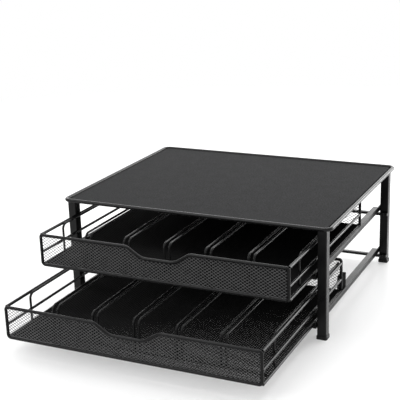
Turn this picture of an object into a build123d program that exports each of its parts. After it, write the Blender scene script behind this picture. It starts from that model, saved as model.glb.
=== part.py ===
"""Two-tier pod stand with two wire drawers, both pulled part of the way out.

The origin is on the table, under the middle of the stand and its drawers as they stand.
X runs across the fronts, -Y is the side the drawers come out of, and Z is up.
"""

import os

from build123d import *

os.makedirs("parts", exist_ok=True)

# Platform on top of the stand
top_width = 380
top_depth = 309
stand_height = 148
rim_rod = 5
rim_bend = 9
panel_drop = 2
panel_thickness = 1.5
mat_thickness = 2
mat_gap = 0.4
mat_chamfer = 0.4

# Legs, their caps, and the bars between them
leg_side = 12
leg_wall = 1.2
leg_inner_x = 171.5
leg_outer_y = 150.5
cap_margin = 1
cap_height = 4.5
cap_floor = 2
cap_chamfer = 0.6
front_bar_depth = 4
front_bar_height = 3.6
rear_bar_depth = 5
rear_bar_height = 3.8
rear_bar_gap = 2.2
screw = 2.5
screw_head = 4.5
screw_head_height = 1.6
screw_head_taper = 20
screw_length = 8

# Rails that carry the drawers
rail_flange = 1.2
rail_flange_height = 8
rail_shelf = 1.5
rail_shelf_width = 10.3
rail_nose = 4.5
rail_groove_depth = 0.5
rail_groove_height = 3
rail_lip = 1.7
rail_nose_radius = 1.5
running_gap = 0.3

# One drawer; widths and heights are between the middles of the rods
drawer_width = 336
drawer_depth = 285
drawer_height = 40
rear_rise = 5
drawer_rod = 4
mid_wire = 3.5
mid_wire_height = 17
lower_bend = 4
upper_bend = 3
weld = 0.3

# Finger scoop in the front rim
scoop_top = 43
scoop_bottom = 23
scoop_depth = 13
scoop_top_bend = 14
scoop_bottom_bend = 24

# Expanded steel sheet: each gap stands for a block of the finer real ones
sheet = 0.8
sheet_height = 1.0
front_gap_length = 16.6
front_gap_width = 11.5
floor_gap_length = 33
floor_gap_width = 23
front_strand = 2.2
floor_strand = 3
floor_corner = 1

# Lane wires inside a drawer
lane_wire = 3
lane_pitch = 56
lane_count = 6
pair_spacing = 7
lane_bend = 7
pair_end_bend = 3.4
lane_inset = 24
side_lane_x = 164.2
side_lane_inset = 46
cross_wire = 2.5
wire_bite = 0.1

# Block behind the lower drawer's rear corners
bumper_width = 7
bumper_length = 18
bumper_height = 22
bumper_inset = 1
bumper_round = 1.5

# How far each drawer's front stands from the middle of the stand, and its level
lower_reach = 325
upper_reach = 240.5
lower_level = 21
upper_level = 86.5

# The whole stand is moved back so that the origin is under its middle
stand_y = (lower_reach + drawer_rod / 2 - top_depth / 2) / 2
half_width = drawer_width / 2
leg_x = leg_inner_x + leg_side / 2
leg_y = leg_outer_y - leg_side / 2
rim_z = stand_height - rim_rod / 2
panel_z = rim_z - panel_drop
rail_rear = leg_outer_y - leg_side / 2
rail_front = leg_outer_y + rail_nose
levels = {"lower": lower_level, "upper": upper_level}
shelf_drop = drawer_rod / 2 + running_gap
rail_depth = shelf_drop + rail_shelf + rail_lip


def finish(piece, name):
    """Name a finished piece and write it."""
    piece.part.label = name
    export_step(piece.part, f"parts/{name}.step")


def bent_rod(diameter, *points, bends=0):
    """A round rod bent along a row of points."""
    with BuildPart() as rod:
        with BuildLine() as path:
            FilletPolyline(*points, radius=bends)
        with BuildSketch(path.line ^ 0):
            Circle(diameter / 2)
        sweep(path=path.line)
    return rod


def straight_rod(diameter, start, end):
    """A straight round rod between two points."""
    with BuildPart() as rod:
        with BuildLine() as path:
            Line(start, end)
        with BuildSketch(path.line ^ 0):
            Circle(diameter / 2)
        sweep(path=path.line)
    return rod


def rod_loop(diameter, plane, outline, bends):
    """A closed loop of round rod bent along an outline on a plane."""
    with BuildPart() as loop:
        with BuildLine(plane) as path:
            FilletPolyline(*outline, radius=bends, close=True)
        with BuildSketch(path.line ^ 0):
            Circle(diameter / 2)
        sweep(path=path.line)
    return loop


# ---- Platform: rod rim, steel panel and the mat that lies on it

rim_x = (top_width - rim_rod) / 2
rim_y = (top_depth - rim_rod) / 2
rim_outline = ((-rim_x, -rim_y), (-rim_x, rim_y), (rim_x, rim_y), (rim_x, -rim_y))
top_rim = rod_loop(rim_rod, Plane((0, stand_y, rim_z)), rim_outline, [rim_bend] * 4)
finish(top_rim, "top_rim")

panel_width = top_width - 2 * rim_rod + 2 * weld
panel_depth = top_depth - 2 * rim_rod + 2 * weld
with BuildPart() as top_panel:
    with BuildSketch(Plane((0, stand_y, panel_z))):
        RectangleRounded(panel_width, panel_depth, rim_bend - rim_rod / 2)
    extrude(amount=panel_thickness)
finish(top_panel, "top_panel")

mat_width = top_width - 2 * rim_rod - 2 * mat_gap
mat_depth = top_depth - 2 * rim_rod - 2 * mat_gap
with BuildPart() as top_mat:
    with BuildSketch(Plane((0, stand_y, panel_z + panel_thickness))):
        RectangleRounded(mat_width, mat_depth, rim_bend - rim_rod / 2)
    extrude(amount=mat_thickness)
    chamfer(top_mat.faces().sort_by(Axis.Z)[-1].edges(), mat_chamfer)
finish(top_mat, "top_mat")

# ---- Legs: square tubes in flared caps

rear_bar_drop = rail_depth + rear_bar_gap + rear_bar_height / 2
screw_heights = [level - rear_bar_drop for level in levels.values()]

for end, way_y in (("front", -1), ("rear", 1)):
    for side, way_x in (("left", -1), ("right", 1)):
        foot_x = way_x * leg_x
        foot_y = stand_y + way_y * leg_y
        with BuildPart() as leg:
            with BuildSketch(Plane((foot_x, foot_y, cap_floor))):
                RectangleRounded(leg_side, leg_side, leg_wall)
                Rectangle(leg_side - 2 * leg_wall, leg_side - 2 * leg_wall, mode=Mode.SUBTRACT)
            extrude(amount=panel_z - cap_floor)
            if end == "rear":
                for screw_z in screw_heights:
                    bore = Plane((foot_x, foot_y - leg_side / 2, screw_z), z_dir=(0, 1, 0))
                    with BuildSketch(bore):
                        Circle(screw / 2)
                    extrude(amount=leg_wall, mode=Mode.SUBTRACT)
        finish(leg, f"leg_{end}_{side}")

        with BuildPart() as cap:
            cap_side = leg_side + 2 * cap_margin
            with BuildSketch(Plane((foot_x, foot_y, 0))):
                RectangleRounded(cap_side, cap_side, leg_wall + cap_margin)
            extrude(amount=cap_height)
            chamfer(cap.faces().sort_by(Axis.Z)[-1].outer_wire().edges(), cap_chamfer)
            with BuildSketch(Plane((foot_x, foot_y, cap_floor))):
                RectangleRounded(leg_side, leg_side, leg_wall)
            extrude(amount=cap_height - cap_floor, mode=Mode.SUBTRACT)
        finish(cap, f"foot_{end}_{side}")

# ---- Rails: a flange on the legs' inner faces with a shelf that the drawer slides on

for tier, level in levels.items():
    shelf_z = level - shelf_drop
    flange_z = level - rail_depth
    for side, way_x in (("left", -1), ("right", 1)):
        with BuildPart() as rail:
            with BuildSketch(Plane((0, stand_y - rail_front, 0), z_dir=(0, 1, 0), x_dir=(1, 0, 0))):
                flange_x = leg_inner_x - rail_flange / 2
                with Locations((way_x * flange_x, -flange_z)):
                    Rectangle(rail_flange, rail_flange_height, align=(Align.CENTER, Align.MAX))
                shelf_x = leg_inner_x - rail_flange - rail_shelf_width / 2
                with Locations((way_x * shelf_x, -shelf_z)):
                    Rectangle(rail_shelf_width, rail_shelf, align=(Align.CENTER, Align.MIN))
                groove_x = leg_inner_x - rail_groove_depth / 2
                with Locations((way_x * groove_x, -flange_z - rail_flange_height / 2)):
                    Rectangle(rail_groove_depth, rail_groove_height, mode=Mode.SUBTRACT)
            extrude(amount=rail_front + rail_rear)
            nose_edges = rail.edges().filter_by(Axis.X).group_by(Axis.Y)[0]
            flange_corners = nose_edges.sort_by(Axis.Z)
            fillet([flange_corners[0], flange_corners[-1]], rail_nose_radius)
        finish(rail, f"rail_{tier}_{side}")

    with BuildPart() as front_crossbar:
        front_bar = Plane((0, stand_y - leg_outer_y + front_bar_depth / 2, shelf_z - rail_shelf))
        with Locations(front_bar):
            Box(
                2 * (leg_inner_x - rail_flange),
                front_bar_depth,
                front_bar_height,
                align=(Align.CENTER, Align.CENTER, Align.MAX),
            )
    finish(front_crossbar, f"front_crossbar_{tier}")

    bar_y = stand_y + leg_outer_y - leg_side - rear_bar_depth / 2
    with BuildPart() as rear_crossbar:
        with Locations(Plane((0, bar_y, level - rear_bar_drop))):
            Box(2 * (leg_inner_x + leg_side), rear_bar_depth, rear_bar_height)
        bar_face = (0, bar_y - rear_bar_depth / 2, level - rear_bar_drop)
        with BuildSketch(Plane(bar_face, x_dir=(1, 0, 0), z_dir=(0, 1, 0))):
            with GridLocations(2 * leg_x, 1, 2, 1):
                Circle(screw / 2)
        extrude(amount=rear_bar_depth, mode=Mode.SUBTRACT)
    finish(rear_crossbar, f"rear_crossbar_{tier}")

# ---- Screws that hold the rear bars to the rear legs

with BuildPart() as crossbar_screws:
    head_y = stand_y + leg_outer_y - leg_side - rear_bar_depth
    for screw_z in screw_heights:
        head_plane = Plane((0, head_y, screw_z), x_dir=(1, 0, 0), z_dir=(0, -1, 0))
        with BuildSketch(head_plane):
            with GridLocations(2 * leg_x, 1, 2, 1):
                Circle(screw_head / 2)
        extrude(amount=screw_head_height, taper=screw_head_taper)
        with BuildSketch(head_plane):
            with GridLocations(2 * leg_x, 1, 2, 1):
                Circle(screw / 2)
        extrude(amount=-screw_length)
finish(crossbar_screws, "crossbar_screws")

# ---- Drawers

front_outline = (
    (-half_width, 0),
    (-half_width, drawer_height),
    (-scoop_top, drawer_height),
    (-scoop_bottom, drawer_height - scoop_depth),
    (scoop_bottom, drawer_height - scoop_depth),
    (scoop_top, drawer_height),
    (half_width, drawer_height),
    (half_width, 0),
)
front_bends = [
    lower_bend,
    upper_bend,
    scoop_top_bend,
    scoop_bottom_bend,
    scoop_bottom_bend,
    scoop_top_bend,
    upper_bend,
    lower_bend,
]
rear_height = drawer_height + rear_rise
rear_outline = (
    (-half_width, 0),
    (-half_width, rear_height),
    (half_width, rear_height),
    (half_width, 0),
)
rear_bends = [lower_bend, upper_bend, upper_bend, lower_bend]


def expanded_sheet(plane, outline, bends, length, width, strand):
    """A flat sheet with rows of diamond gaps, welded inside an outline of rods.

    Gaps are kept where the sheet's border leaves at least a third of them.
    """
    with BuildSketch() as sheet_face:
        with BuildLine():
            FilletPolyline(*outline, radius=bends, close=True)
        make_face()
        offset(amount=weld - drawer_rod / 2, kind=Kind.INTERSECTION)
    with BuildSketch() as border_face:
        add(sheet_face.sketch)
        offset(amount=-strand, kind=Kind.INTERSECTION)
    box = border_face.sketch.bounding_box()
    columns = round(box.size.X / length)
    rows = round(box.size.Y / width)
    diamond = (
        (length / 2 - strand, 0),
        (0, width / 2 - strand * width / length),
        (strand - length / 2, 0),
        (0, strand * width / length - width / 2),
    )
    middle = box.center()
    with BuildSketch() as gaps:
        with Locations((middle.X, middle.Y)):
            with GridLocations(length, width, columns, rows):
                Polygon(*diamond)
            with GridLocations(length, width, columns + 1, rows + 1):
                Polygon(*diamond)
        add(border_face.sketch, mode=Mode.INTERSECT)
    whole_gap = 2 * diamond[0][0] * diamond[1][1]
    with BuildPart() as mesh:
        with BuildSketch(plane.offset(-sheet / 2)):
            add(sheet_face.sketch)
            add(gaps.sketch.faces().filter_by(lambda gap: gap.area > whole_gap / 3), mode=Mode.SUBTRACT)
        extrude(amount=sheet)
    return mesh


for tier, reach in (("lower", lower_reach), ("upper", upper_reach)):
    level = levels[tier]
    front_y = stand_y - reach
    rear_y = front_y + drawer_depth
    front_plane = Plane((0, front_y, level), x_dir=(1, 0, 0), z_dir=(0, -1, 0))
    rear_plane = Plane((0, rear_y, level), x_dir=(1, 0, 0), z_dir=(0, -1, 0))

    front_frame = rod_loop(drawer_rod, front_plane, front_outline, front_bends)
    finish(front_frame, f"{tier}_front_frame")
    rear_frame = rod_loop(drawer_rod, rear_plane, rear_outline, rear_bends)
    finish(rear_frame, f"{tier}_rear_frame")

    front_mesh = expanded_sheet(
        front_plane, front_outline, front_bends, front_gap_length, front_gap_width, front_strand
    )
    finish(front_mesh, f"{tier}_front_mesh")
    rear_mesh = expanded_sheet(
        rear_plane, rear_outline, rear_bends, front_gap_length, front_gap_width, front_strand
    )
    finish(rear_mesh, f"{tier}_rear_mesh")

    floor_outline = (
        (-half_width, 0),
        (-half_width, drawer_depth),
        (half_width, drawer_depth),
        (half_width, 0),
    )
    floor_plane = Plane((0, front_y, level + sheet_height))
    floor_bends = [floor_corner] * 4
    floor_mesh = expanded_sheet(
        floor_plane, floor_outline, floor_bends, floor_gap_length, floor_gap_width, floor_strand
    )
    finish(floor_mesh, f"{tier}_floor_mesh")

    rod_front = front_y + drawer_rod / 2 - weld
    rod_rear = rear_y - drawer_rod / 2 + weld
    for side, way_x in (("left", -1), ("right", 1)):
        rod_x = way_x * half_width
        for name, height, diameter in (
            ("rim", drawer_height, drawer_rod),
            ("mid_wire", mid_wire_height, mid_wire),
            ("bottom_rod", 0, drawer_rod),
        ):
            start = (rod_x, rod_front, level + height)
            side_rod = straight_rod(diameter, start, (rod_x, rod_rear, level + height))
            finish(side_rod, f"{tier}_{side}_{name}")

    # two wires under the sheet, which the lane wires' legs stand on
    cross_z = level + sheet_height - sheet / 2 - cross_wire / 2 + wire_bite
    cross_y = (front_y + lane_inset, rear_y - lane_inset)
    cross_end = half_width - drawer_rod / 2 + weld
    with BuildPart() as floor_wires:
        for wire_y in cross_y:
            with BuildSketch(Plane((-cross_end, wire_y, cross_z), z_dir=(1, 0, 0))):
                Circle(cross_wire / 2)
            extrude(amount=2 * cross_end)
    finish(floor_wires, f"{tier}_floor_wires")

    # hairpins of two parallel wires, open at the front and closed at the rear
    foot_z = cross_z + cross_wire / 2 - wire_bite
    top_z = level + drawer_height
    turn_z = foot_z + lane_wire / 2
    hairpin = (
        (-pair_spacing / 2, cross_y[0], foot_z),
        (-pair_spacing / 2, cross_y[0], top_z),
        (-pair_spacing / 2, cross_y[1], top_z),
        (-pair_spacing / 2, cross_y[1], turn_z),
        (pair_spacing / 2, cross_y[1], turn_z),
        (pair_spacing / 2, cross_y[1], top_z),
        (pair_spacing / 2, cross_y[0], top_z),
        (pair_spacing / 2, cross_y[0], foot_z),
    )
    hairpin_bends = [lane_bend, lane_bend, pair_end_bend, pair_end_bend, lane_bend, lane_bend]
    hairpin_wire = bent_rod(lane_wire, *hairpin, bends=hairpin_bends)
    with BuildPart() as lane_dividers:
        with GridLocations(lane_pitch, 1, lane_count - 1, 1):
            add(hairpin_wire.part)
    finish(lane_dividers, f"{tier}_lane_dividers")

    # single wires along the two side rims, from a leg on the sheet's border to the rear sheet
    side_leg_y = front_y + side_lane_inset
    side_wire = bent_rod(
        lane_wire,
        (0, side_leg_y, foot_z),
        (0, side_leg_y, top_z),
        (0, rear_y - sheet / 2, top_z),
        bends=lane_bend,
    )
    with BuildPart() as side_lane_wires:
        with GridLocations(2 * side_lane_x, 1, 2, 1):
            add(side_wire.part)
    finish(side_lane_wires, f"{tier}_side_lane_wires")

# ---- Blocks on the rear corners of the lower drawer

for side, way_x in (("left", -1), ("right", 1)):
    with BuildPart() as bumper:
        block_y = stand_y - lower_reach + drawer_depth + drawer_rod / 2 - weld
        block_x = way_x * (half_width + drawer_rod / 2 - bumper_inset - bumper_width / 2)
        with Locations(Plane((block_x, block_y, lower_level - drawer_rod / 2))):
            Box(
                bumper_width,
                bumper_length,
                bumper_height,
                align=(Align.CENTER, Align.MIN, Align.MIN),
            )
        fillet(bumper.edges().filter_by(Axis.Z).group_by(Axis.Y)[-1], bumper_round)
    finish(bumper, f"lower_rear_bumper_{side}")
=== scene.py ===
import math

import bpy
import numpy as np
from mathutils import Matrix, Vector


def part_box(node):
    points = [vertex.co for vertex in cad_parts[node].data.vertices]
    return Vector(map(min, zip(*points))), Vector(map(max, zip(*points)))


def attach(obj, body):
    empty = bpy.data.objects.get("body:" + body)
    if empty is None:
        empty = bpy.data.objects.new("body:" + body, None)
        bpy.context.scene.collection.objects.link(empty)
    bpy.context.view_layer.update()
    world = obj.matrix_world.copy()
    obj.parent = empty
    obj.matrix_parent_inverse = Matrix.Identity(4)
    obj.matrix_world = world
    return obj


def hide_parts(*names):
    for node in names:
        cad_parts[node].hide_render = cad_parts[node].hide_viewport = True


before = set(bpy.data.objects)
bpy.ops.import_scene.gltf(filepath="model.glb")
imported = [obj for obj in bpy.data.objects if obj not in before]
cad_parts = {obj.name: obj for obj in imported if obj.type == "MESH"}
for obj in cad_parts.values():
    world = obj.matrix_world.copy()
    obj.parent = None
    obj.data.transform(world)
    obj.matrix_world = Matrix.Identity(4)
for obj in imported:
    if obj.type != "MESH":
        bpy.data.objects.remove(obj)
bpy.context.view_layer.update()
mm = 0.001

# ---- Black powder coat
# Every steel piece has a sprayed and baked coat with a faint orange peel and a sheen that
# varies a little. It is black; on the fine strands of the upright sheets a dark grey is painted
# highlight, and on the floor sheets' strands a low gloss is painted shade inside the drawers.


def powder_coat(name, colour, roughness, gloss, peel_size, peel_depth):
    """A baked coat: base colour and roughness drift slowly, and a fine noise gives the peel."""
    drift_scale = 60
    tint_spread = 0.1
    sheen_spread = 0.05
    peel_strength = 0.35
    material = bpy.data.materials.new(name)
    material.use_nodes = True
    nodes = material.node_tree.nodes
    links = material.node_tree.links
    shader = nodes["Principled BSDF"]
    shader.inputs["Specular IOR Level"].default_value = gloss
    coordinates = nodes.new("ShaderNodeTexCoord")

    drift = nodes.new("ShaderNodeTexNoise")
    drift.inputs["Scale"].default_value = drift_scale
    drift.inputs["Detail"].default_value = 3
    links.new(coordinates.outputs["Object"], drift.inputs["Vector"])

    tint = nodes.new("ShaderNodeValToRGB")
    tint.color_ramp.elements[0].position = 0.35
    tint.color_ramp.elements[1].position = 0.65
    tint.color_ramp.elements[0].color = [(1 - tint_spread) * c for c in colour] + [1]
    tint.color_ramp.elements[1].color = [(1 + tint_spread) * c for c in colour] + [1]
    links.new(drift.outputs["Fac"], tint.inputs["Fac"])
    links.new(tint.outputs["Color"], shader.inputs["Base Color"])

    sheen = nodes.new("ShaderNodeMapRange")
    sheen.inputs["From Min"].default_value = 0.3
    sheen.inputs["From Max"].default_value = 0.7
    sheen.inputs["To Min"].default_value = roughness - sheen_spread
    sheen.inputs["To Max"].default_value = roughness + sheen_spread
    links.new(drift.outputs["Fac"], sheen.inputs["Value"])
    links.new(sheen.outputs["Result"], shader.inputs["Roughness"])

    peel = nodes.new("ShaderNodeTexNoise")
    peel.inputs["Scale"].default_value = 1 / peel_size
    peel.inputs["Detail"].default_value = 2
    links.new(coordinates.outputs["Object"], peel.inputs["Vector"])
    bump = nodes.new("ShaderNodeBump")
    bump.inputs["Strength"].default_value = peel_strength
    bump.inputs["Distance"].default_value = peel_depth
    links.new(peel.outputs["Fac"], bump.inputs["Height"])
    links.new(bump.outputs["Normal"], shader.inputs["Normal"])
    return material


def finish_nodes(material, *names):
    """Give carried-over nodes one material."""
    for name in names:
        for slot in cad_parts[name].material_slots:
            slot.material = material


stand_coat = powder_coat("stand_coat", (0.004, 0.004, 0.0042), 0.32, 0.2, 1.2 * mm, 0.05 * mm)
wire_coat = powder_coat("wire_coat", (0.003, 0.003, 0.0032), 0.24, 0.16, 1.0 * mm, 0.04 * mm)
# The upright sheets' grey is a painted highlight: the black coat made lighter, like light caught on the
# strands.
front_coat_painted_highlight = powder_coat("front_coat_painted_highlight", (0.065, 0.065, 0.066), 0.30, 0.5, 0.8 * mm, 0.03 * mm)
# The floor sheets' low gloss is painted shade: the black coat made duller, like the shade inside the
# drawers.
floor_coat_painted_shade = powder_coat("floor_coat_painted_shade", (0.003, 0.003, 0.0031), 0.40, 0.06, 0.8 * mm, 0.03 * mm)

# ---- Platform
# A bent rod frames a steel panel, and a thin rubber mat with a fine pebbled face lies on
# the panel just below the rod's top, so that nothing slides on it.

rim_coat = powder_coat("rim_coat", (0.004, 0.004, 0.0042), 0.24, 0.2, 1.2 * mm, 0.05 * mm)
finish_nodes(rim_coat, "top_rim")
finish_nodes(stand_coat, "top_panel")


def mat_rubber():
    """Dark grey rubber with a fine pebble and faint cloudy patches."""
    pebble_scale = 520
    cloud_scale = 70
    cloud_share = 0.15
    pebble_depth = 0.35 * mm
    pebble_low = (0.004, 0.0041, 0.0043, 1)
    pebble_high = (0.022, 0.0225, 0.0235, 1)
    material = bpy.data.materials.new("mat_rubber")
    material.use_nodes = True
    nodes = material.node_tree.nodes
    links = material.node_tree.links
    shader = nodes["Principled BSDF"]
    shader.inputs["Specular IOR Level"].default_value = 0.06
    shader.inputs["Roughness"].default_value = 0.75
    coordinates = nodes.new("ShaderNodeTexCoord")
    pebble = nodes.new("ShaderNodeTexNoise")
    pebble.inputs["Scale"].default_value = pebble_scale
    pebble.inputs["Detail"].default_value = 3
    links.new(coordinates.outputs["Object"], pebble.inputs["Vector"])
    clouds = nodes.new("ShaderNodeTexNoise")
    clouds.inputs["Scale"].default_value = cloud_scale
    clouds.inputs["Detail"].default_value = 4
    links.new(coordinates.outputs["Object"], clouds.inputs["Vector"])
    both = nodes.new("ShaderNodeMix")
    both.inputs["Factor"].default_value = cloud_share
    links.new(pebble.outputs["Fac"], both.inputs["A"])
    links.new(clouds.outputs["Fac"], both.inputs["B"])
    tint = nodes.new("ShaderNodeValToRGB")
    tint.color_ramp.elements[0].position = 0.35
    tint.color_ramp.elements[1].position = 0.65
    tint.color_ramp.elements[0].color = pebble_low
    tint.color_ramp.elements[1].color = pebble_high
    links.new(both.outputs["Result"], tint.inputs["Fac"])
    links.new(tint.outputs["Color"], shader.inputs["Base Color"])
    bump = nodes.new("ShaderNodeBump")
    bump.inputs["Strength"].default_value = 0.5
    bump.inputs["Distance"].default_value = pebble_depth
    links.new(pebble.outputs["Fac"], bump.inputs["Height"])
    links.new(bump.outputs["Normal"], shader.inputs["Normal"])
    return material


def rubber_mat(name, low, high, margin, corner, edge):
    """A thin slab: a rounded rectangle swept up its wall and over a quarter-round edge.

    The outline is four quarter circles of the corner radius joined by straight sides. Going
    up the profile, the outline shrinks by edge * (1 - cos a) while it rises by edge * sin a.
    """
    corner_points = 9
    edge_points = 5
    turn = np.linspace(0, math.pi / 2, corner_points)
    half_x = (high[0] - low[0]) / 2 - margin
    half_y = (high[1] - low[1]) / 2 - margin
    quarter = np.stack([np.cos(turn), np.sin(turn)], axis=1)
    back_left = np.stack([-quarter[::-1, 0], quarter[::-1, 1]], axis=1)
    front_left = -quarter
    front_right = np.stack([quarter[::-1, 0], -quarter[::-1, 1]], axis=1)
    direction = np.concatenate([quarter, back_left, front_left, front_right])
    signs = np.repeat([[1, 1], [-1, 1], [-1, -1], [1, -1]], corner_points, axis=0)
    corner_middle = signs * np.array([half_x - corner, half_y - corner])

    rise = np.linspace(0, math.pi / 2, edge_points)
    radius = np.concatenate([[corner], corner - edge * (1 - np.cos(rise))])
    height = np.concatenate([[low[2]], high[2] - edge + edge * np.sin(rise)])
    flat = corner_middle[None] + radius[:, None, None] * direction[None]
    middle = np.array([(low[0] + high[0]) / 2, (low[1] + high[1]) / 2])
    rings, around = flat.shape[:2]
    level = np.broadcast_to(height[:, None, None], (rings, around, 1))
    points = np.concatenate([flat + middle, level], axis=2)
    ring, step = np.meshgrid(np.arange(rings - 1), np.arange(around), indexing="ij")
    here = ring * around + step
    after = ring * around + (step + 1) % around
    faces = np.stack([here, after, after + around, here + around], axis=2).reshape(-1, 4).tolist()
    faces.append(list(range((rings - 1) * around, rings * around)))
    faces.append(list(range(around))[::-1])
    mesh = bpy.data.meshes.new(name)
    mesh.from_pydata(points.reshape(-1, 3).tolist(), [], faces)
    mesh.materials.append(mat_rubber())
    mat = bpy.data.objects.new(name, mesh)
    bpy.context.collection.objects.link(mat)
    return mat


mat_sink = 0.7 * mm
mat_margin = 1.8 * mm
mat_corner = 5.5 * mm
mat_edge = 0.6 * mm
mat_low, mat_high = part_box("top_mat")
mat_top = (mat_high[0], mat_high[1], mat_high[2] - mat_sink)
mat = rubber_mat("top_mat_sheet", mat_low, mat_top, mat_margin, mat_corner, mat_edge)
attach(mat, "stand")
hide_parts("top_mat")

# ---- Legs, rails and bars
# Square tubes stand in flared caps. Flanged rails run along their inner faces, and flat
# bars join them in front and behind. All of it is welded or screwed, then coated black.

cap_plastic = powder_coat("cap_plastic", (0.005, 0.005, 0.005), 0.5, 0.25, 0.6 * mm, 0.05 * mm)
for end in ("front", "rear"):
    for side in ("left", "right"):
        finish_nodes(stand_coat, f"leg_{end}_{side}")
        finish_nodes(cap_plastic, f"foot_{end}_{side}")
for tier in ("lower", "upper"):
    finish_nodes(stand_coat, f"rail_{tier}_left", f"rail_{tier}_right")
    finish_nodes(stand_coat, f"front_crossbar_{tier}", f"rear_crossbar_{tier}")
finish_nodes(stand_coat, "crossbar_screws")

# ---- Drawer rods
# Each drawer is a basket of round wire: a looped rod in front and behind, rods along the
# sides and the lane wires inside, all spot welded and coated together.

for tier in ("lower", "upper"):
    for part in ("front_frame", "rear_frame", "floor_wires", "lane_dividers", "side_lane_wires"):
        finish_nodes(wire_coat, f"{tier}_{part}")
    for side in ("left", "right"):
        for part in ("rim", "mid_wire", "bottom_rod"):
            finish_nodes(wire_coat, f"{tier}_{side}_{part}")

# ---- Expanded steel sheets
# The front, the back and the floor of a drawer are slit and stretched steel: rows of wavy
# strands that touch crest to crest and leave 5.7 x 4 mm diamonds. They are welded to the
# rods and coated with them. The floor's strands are broader and lean the other way.

diamond_long = 5.7 * mm
diamond_short = 4.0 * mm


def expanded_sheet(name, coat, origin, across, up, lean, strand, width, height, top_line=None):
    """Wavy strands of flattened section, each a triangle wave that meets the next at its crests.

    At column c of row r a strand's middle is at u = c * half_wave - width / 2 and at
    v = (r + (r + c) mod 2) * short_way / 2, so it runs between two heights half a diamond
    apart. Its four-sided section leans out of the sheet. Points past the outline are drawn
    in to it, and stretches that lie wholly outside are left out.
    """
    long_way = width / round(width / diamond_long)
    short_way = height / round(height / diamond_short)
    half_wave = long_way / 2
    columns = int(round(width / half_wave)) + 1
    rows = int(round(height / (short_way / 2)))
    row, column = np.meshgrid(np.arange(rows), np.arange(columns), indexing="ij")
    u = column * half_wave - width / 2
    v = (row + (row + column) % 2) * short_way / 2
    limit = np.full(u.shape, height)
    if top_line is not None:
        limit = top_line(u)
    inside = v < limit
    v = np.minimum(v, limit)

    half_broad, half_thin = strand
    section = []
    for broad, thin in ((-1, -1), (1, -1), (1, 1), (-1, 1)):
        in_sheet = broad * half_broad * math.cos(lean) - thin * half_thin * math.sin(lean)
        out = broad * half_broad * math.sin(lean) + thin * half_thin * math.cos(lean)
        section.append((in_sheet, out))
    across = np.array(across, float)
    up = np.array(up, float)
    out_of = np.cross(across, up)
    middle = np.array(origin) + u[..., None] * across + v[..., None] * up
    rings = np.stack([middle + a * up + b * out_of for a, b in section], axis=2)
    points = rings.reshape(-1, 3)

    sides = len(section)
    start = (row * columns + column)[:, :-1] * sides
    kept = inside[:, :-1] | inside[:, 1:]
    start = start[kept]
    after = start + sides
    faces = []
    for corner in range(sides):
        following = (corner + 1) % sides
        quad = (start + corner, start + following, after + following, after + corner)
        faces.append(np.stack(quad, axis=1))
    faces = np.concatenate(faces)
    used, faces = np.unique(faces, return_inverse=True)
    faces = faces.reshape(-1, 4)
    mesh = bpy.data.meshes.new(name)
    mesh.from_pydata(points[used].tolist(), [], faces.tolist())
    mesh.materials.append(coat)
    sheet = bpy.data.objects.new(name, mesh)
    bpy.context.collection.objects.link(sheet)
    return sheet


rod_radius = 2 * mm
rod_reach = 168 * mm
front_height = 40 * mm
scoop_depth = 13 * mm
scoop_reach = 48 * mm
scoop_slope = 31 * mm


def scooped_top(u):
    """Height of the front rod's middle over the bottom rod's: level, then the finger scoop.

    It is front_height - scoop_depth * a * a * (3 - 2 * a), where a goes from 0 to 1 over the
    slope's length and stays 1 in the scoop's flat floor.
    """
    away = np.clip((scoop_reach - np.abs(u)) / scoop_slope, 0, 1)
    return front_height - scoop_depth * away * away * (3 - 2 * away)


sheet_width = 2 * rod_reach
upright_lean = math.radians(-30)
upright_strand = (0.30 * mm, 0.18 * mm)
floor_lean = math.radians(40)
floor_strand = (0.66 * mm, 0.24 * mm)
floor_lift = 1 * mm
rightward = (1, 0, 0)
rearward = (0, 1, 0)
upward = (0, 0, 1)
for tier in ("lower", "upper"):
    low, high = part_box(f"{tier}_front_frame")
    rear_low, rear_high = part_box(f"{tier}_rear_frame")
    front_y = (low[1] + high[1]) / 2
    rear_y = (rear_low[1] + rear_high[1]) / 2
    floor_z = low[2] + rod_radius
    front_foot = (0, front_y, floor_z)
    rear_foot = (0, rear_y, floor_z)
    floor_edge = (0, front_y, floor_z + floor_lift)
    rear_height = rear_high[2] - rear_low[2] - 2 * rod_radius
    front_sheet = expanded_sheet(
        f"{tier}_front_mesh_strands", front_coat_painted_highlight, front_foot, rightward, upward,
        upright_lean, upright_strand, sheet_width, front_height, scooped_top
    )
    rear_sheet = expanded_sheet(
        f"{tier}_rear_mesh_strands", front_coat_painted_highlight, rear_foot, rightward, upward,
        upright_lean, upright_strand, sheet_width, rear_height
    )
    floor_sheet = expanded_sheet(
        f"{tier}_floor_mesh_strands", floor_coat_painted_shade, floor_edge, rightward, rearward,
        floor_lean, floor_strand, sheet_width, rear_y - front_y
    )
    sheets = {"front_mesh": front_sheet, "rear_mesh": rear_sheet, "floor_mesh": floor_sheet}
    for part, sheet in sheets.items():
        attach(sheet, f"{tier}_drawer")
        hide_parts(f"{tier}_{part}")

# ---- Bumpers
# Two moulded rubber blocks are pressed on the lower drawer's rear corners. They are black
# and nearly matt.

rubber = powder_coat("bumper_rubber", (0.003, 0.003, 0.003), 0.8, 0.03, 0.5 * mm, 0.06 * mm)
finish_nodes(rubber, "lower_rear_bumper_left", "lower_rear_bumper_right")

# ---- Floor
# A wide plain pale floor. For the rays that show the background its white is about a third
# of the mix near the object, where the shadow stays, and the whole of it far away.


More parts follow.
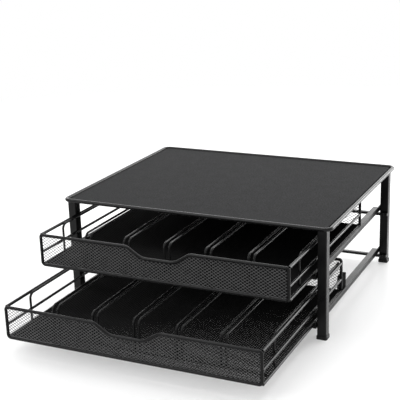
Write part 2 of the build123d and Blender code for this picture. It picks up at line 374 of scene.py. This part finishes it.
def background_rays(nodes, links):
    """A socket that is 1 for the rays that show the background: seen, mirrored or let through."""
    light_path = nodes.new("ShaderNodeLightPath")
    seen_or_mirrored = nodes.new("ShaderNodeMath")
    seen_or_mirrored.operation = "MAXIMUM"
    links.new(light_path.outputs["Is Camera Ray"], seen_or_mirrored.inputs[0])
    links.new(light_path.outputs["Is Glossy Ray"], seen_or_mirrored.inputs[1])
    any_of_them = nodes.new("ShaderNodeMath")
    any_of_them.operation = "MAXIMUM"
    links.new(seen_or_mirrored.outputs["Value"], any_of_them.inputs[0])
    links.new(light_path.outputs["Is Transmission Ray"], any_of_them.inputs[1])
    return any_of_them.outputs["Value"]


stage_mesh = bpy.data.meshes.new("floor")
floor_reach = 2.2
floor_corners = [(x * floor_reach, y * floor_reach, 0) for x, y in ((-1, -1), (1, -1), (1, 1), (-1, 1))]
stage_mesh.from_pydata(floor_corners, [], [(0, 1, 2, 3)])
floor = bpy.data.objects.new("floor", stage_mesh)
bpy.context.collection.objects.link(floor)
floor_paint = bpy.data.materials.new("floor_paint")
floor_paint.use_nodes = True
floor_shader = floor_paint.node_tree.nodes["Principled BSDF"]
floor_shader.inputs["Base Color"].default_value = (0.9, 0.9, 0.9, 1)
floor_shader.inputs["Roughness"].default_value = 0.35
floor_shader.inputs["Specular IOR Level"].default_value = 0.3
floor_nodes = floor_paint.node_tree.nodes
floor_links = floor_paint.node_tree.links
glow = floor_nodes.new("ShaderNodeEmission")
glow.inputs["Strength"].default_value = 1.0
place = floor_nodes.new("ShaderNodeTexCoord")
distance = floor_nodes.new("ShaderNodeVectorMath")
distance.operation = "LENGTH"
floor_links.new(place.outputs["Object"], distance.inputs[0])
fade_start = 0.4
fade_end = 1.6
near_share = 0.3
far_share = 1.0
fade = floor_nodes.new("ShaderNodeMapRange")
fade.inputs["From Min"].default_value = fade_start
fade.inputs["From Max"].default_value = fade_end
fade.inputs["To Min"].default_value = near_share
fade.inputs["To Max"].default_value = far_share
floor_links.new(distance.outputs["Value"], fade.inputs["Value"])
share = floor_nodes.new("ShaderNodeMath")
share.operation = "MULTIPLY"
floor_links.new(background_rays(floor_nodes, floor_links), share.inputs[0])
floor_links.new(fade.outputs["Result"], share.inputs[1])
lifted = floor_nodes.new("ShaderNodeMixShader")
floor_links.new(share.outputs["Value"], lifted.inputs["Fac"])
floor_links.new(floor_shader.outputs["BSDF"], lifted.inputs[1])
floor_links.new(glow.outputs["Emission"], lifted.inputs[2])
floor_links.new(lifted.outputs["Shader"], floor_nodes["Material Output"].inputs["Surface"])
stage_mesh.materials.append(floor_paint)

# ---- Light
# White all round, full for the rays that show the background and weaker as light. A large
# soft box hangs overhead and a wide one behind, one behind at the right is mirrored by the
# right-hand faces, and a weak one stands high in front.

world = bpy.data.worlds.new("studio")
bpy.context.scene.world = world
world.use_nodes = True
world_nodes = world.node_tree.nodes
world_links = world.node_tree.links
background = world_nodes["Background"]
background.inputs["Color"].default_value = (1, 1, 1, 1)
background.inputs["Strength"].default_value = 0.6
white = world_nodes.new("ShaderNodeBackground")
white.inputs["Color"].default_value = (1, 1, 1, 1)
white.inputs["Strength"].default_value = 1.0
pick = world_nodes.new("ShaderNodeMixShader")
world_links.new(background_rays(world_nodes, world_links), pick.inputs["Fac"])
world_links.new(background.outputs["Background"], pick.inputs[1])
world_links.new(white.outputs["Background"], pick.inputs[2])
world_links.new(pick.outputs["Shader"], world_nodes["World Output"].inputs["Surface"])


def soft_box(name, place, aim, size_x, size_y, power):
    """A rectangular lamp at a place, turned towards a point."""
    lamp = bpy.data.lights.new(name, "AREA")
    lamp.shape = "RECTANGLE"
    lamp.size = size_x
    lamp.size_y = size_y
    lamp.energy = power
    holder = bpy.data.objects.new(name, lamp)
    bpy.context.collection.objects.link(holder)
    holder.location = place
    holder.rotation_euler = (Vector(aim) - Vector(place)).to_track_quat("-Z", "Y").to_euler()


object_middle = (0, 0, 0.07)
soft_box("overhead", (0.0, 0.3, 1.8), object_middle, 2.2, 2.2, 26)
soft_box("behind", (-0.6, 2.4, 1.3), object_middle, 5.0, 2.4, 62)
soft_box("right_behind", (1.2, 1.5, 0.5), object_middle, 1.4, 0.9, 24)
soft_box("front_high", (-0.9, -1.6, 1.3), object_middle, 1.0, 1.0, 12)

# ---- Camera
# Low and from the right: 17 degrees down and 26 degrees round, with a slight tilt and a
# long lens.

camera_place = (0.5265, -1.12305, 0.5270)
forward = Vector((-0.4152, 0.8610, -0.2938)).normalized()
level_right = forward.cross(Vector((0, 0, 1))).normalized()
level_up = level_right.cross(forward)
roll = math.radians(-1.889)
camera_right = math.cos(roll) * level_right + math.sin(roll) * level_up
camera_up = -math.sin(roll) * level_right + math.cos(roll) * level_up
turn = Matrix((camera_right, camera_up, -forward)).transposed().to_4x4()
camera_data = bpy.data.cameras.new("camera")
camera_data.sensor_width = 36
camera_data.lens = 87.47
camera = bpy.data.objects.new("camera", camera_data)
bpy.context.collection.objects.link(camera)
camera.matrix_world = Matrix.Translation(camera_place) @ turn
bpy.context.scene.camera = camera
bpy.context.scene.view_settings.view_transform = "Standard"
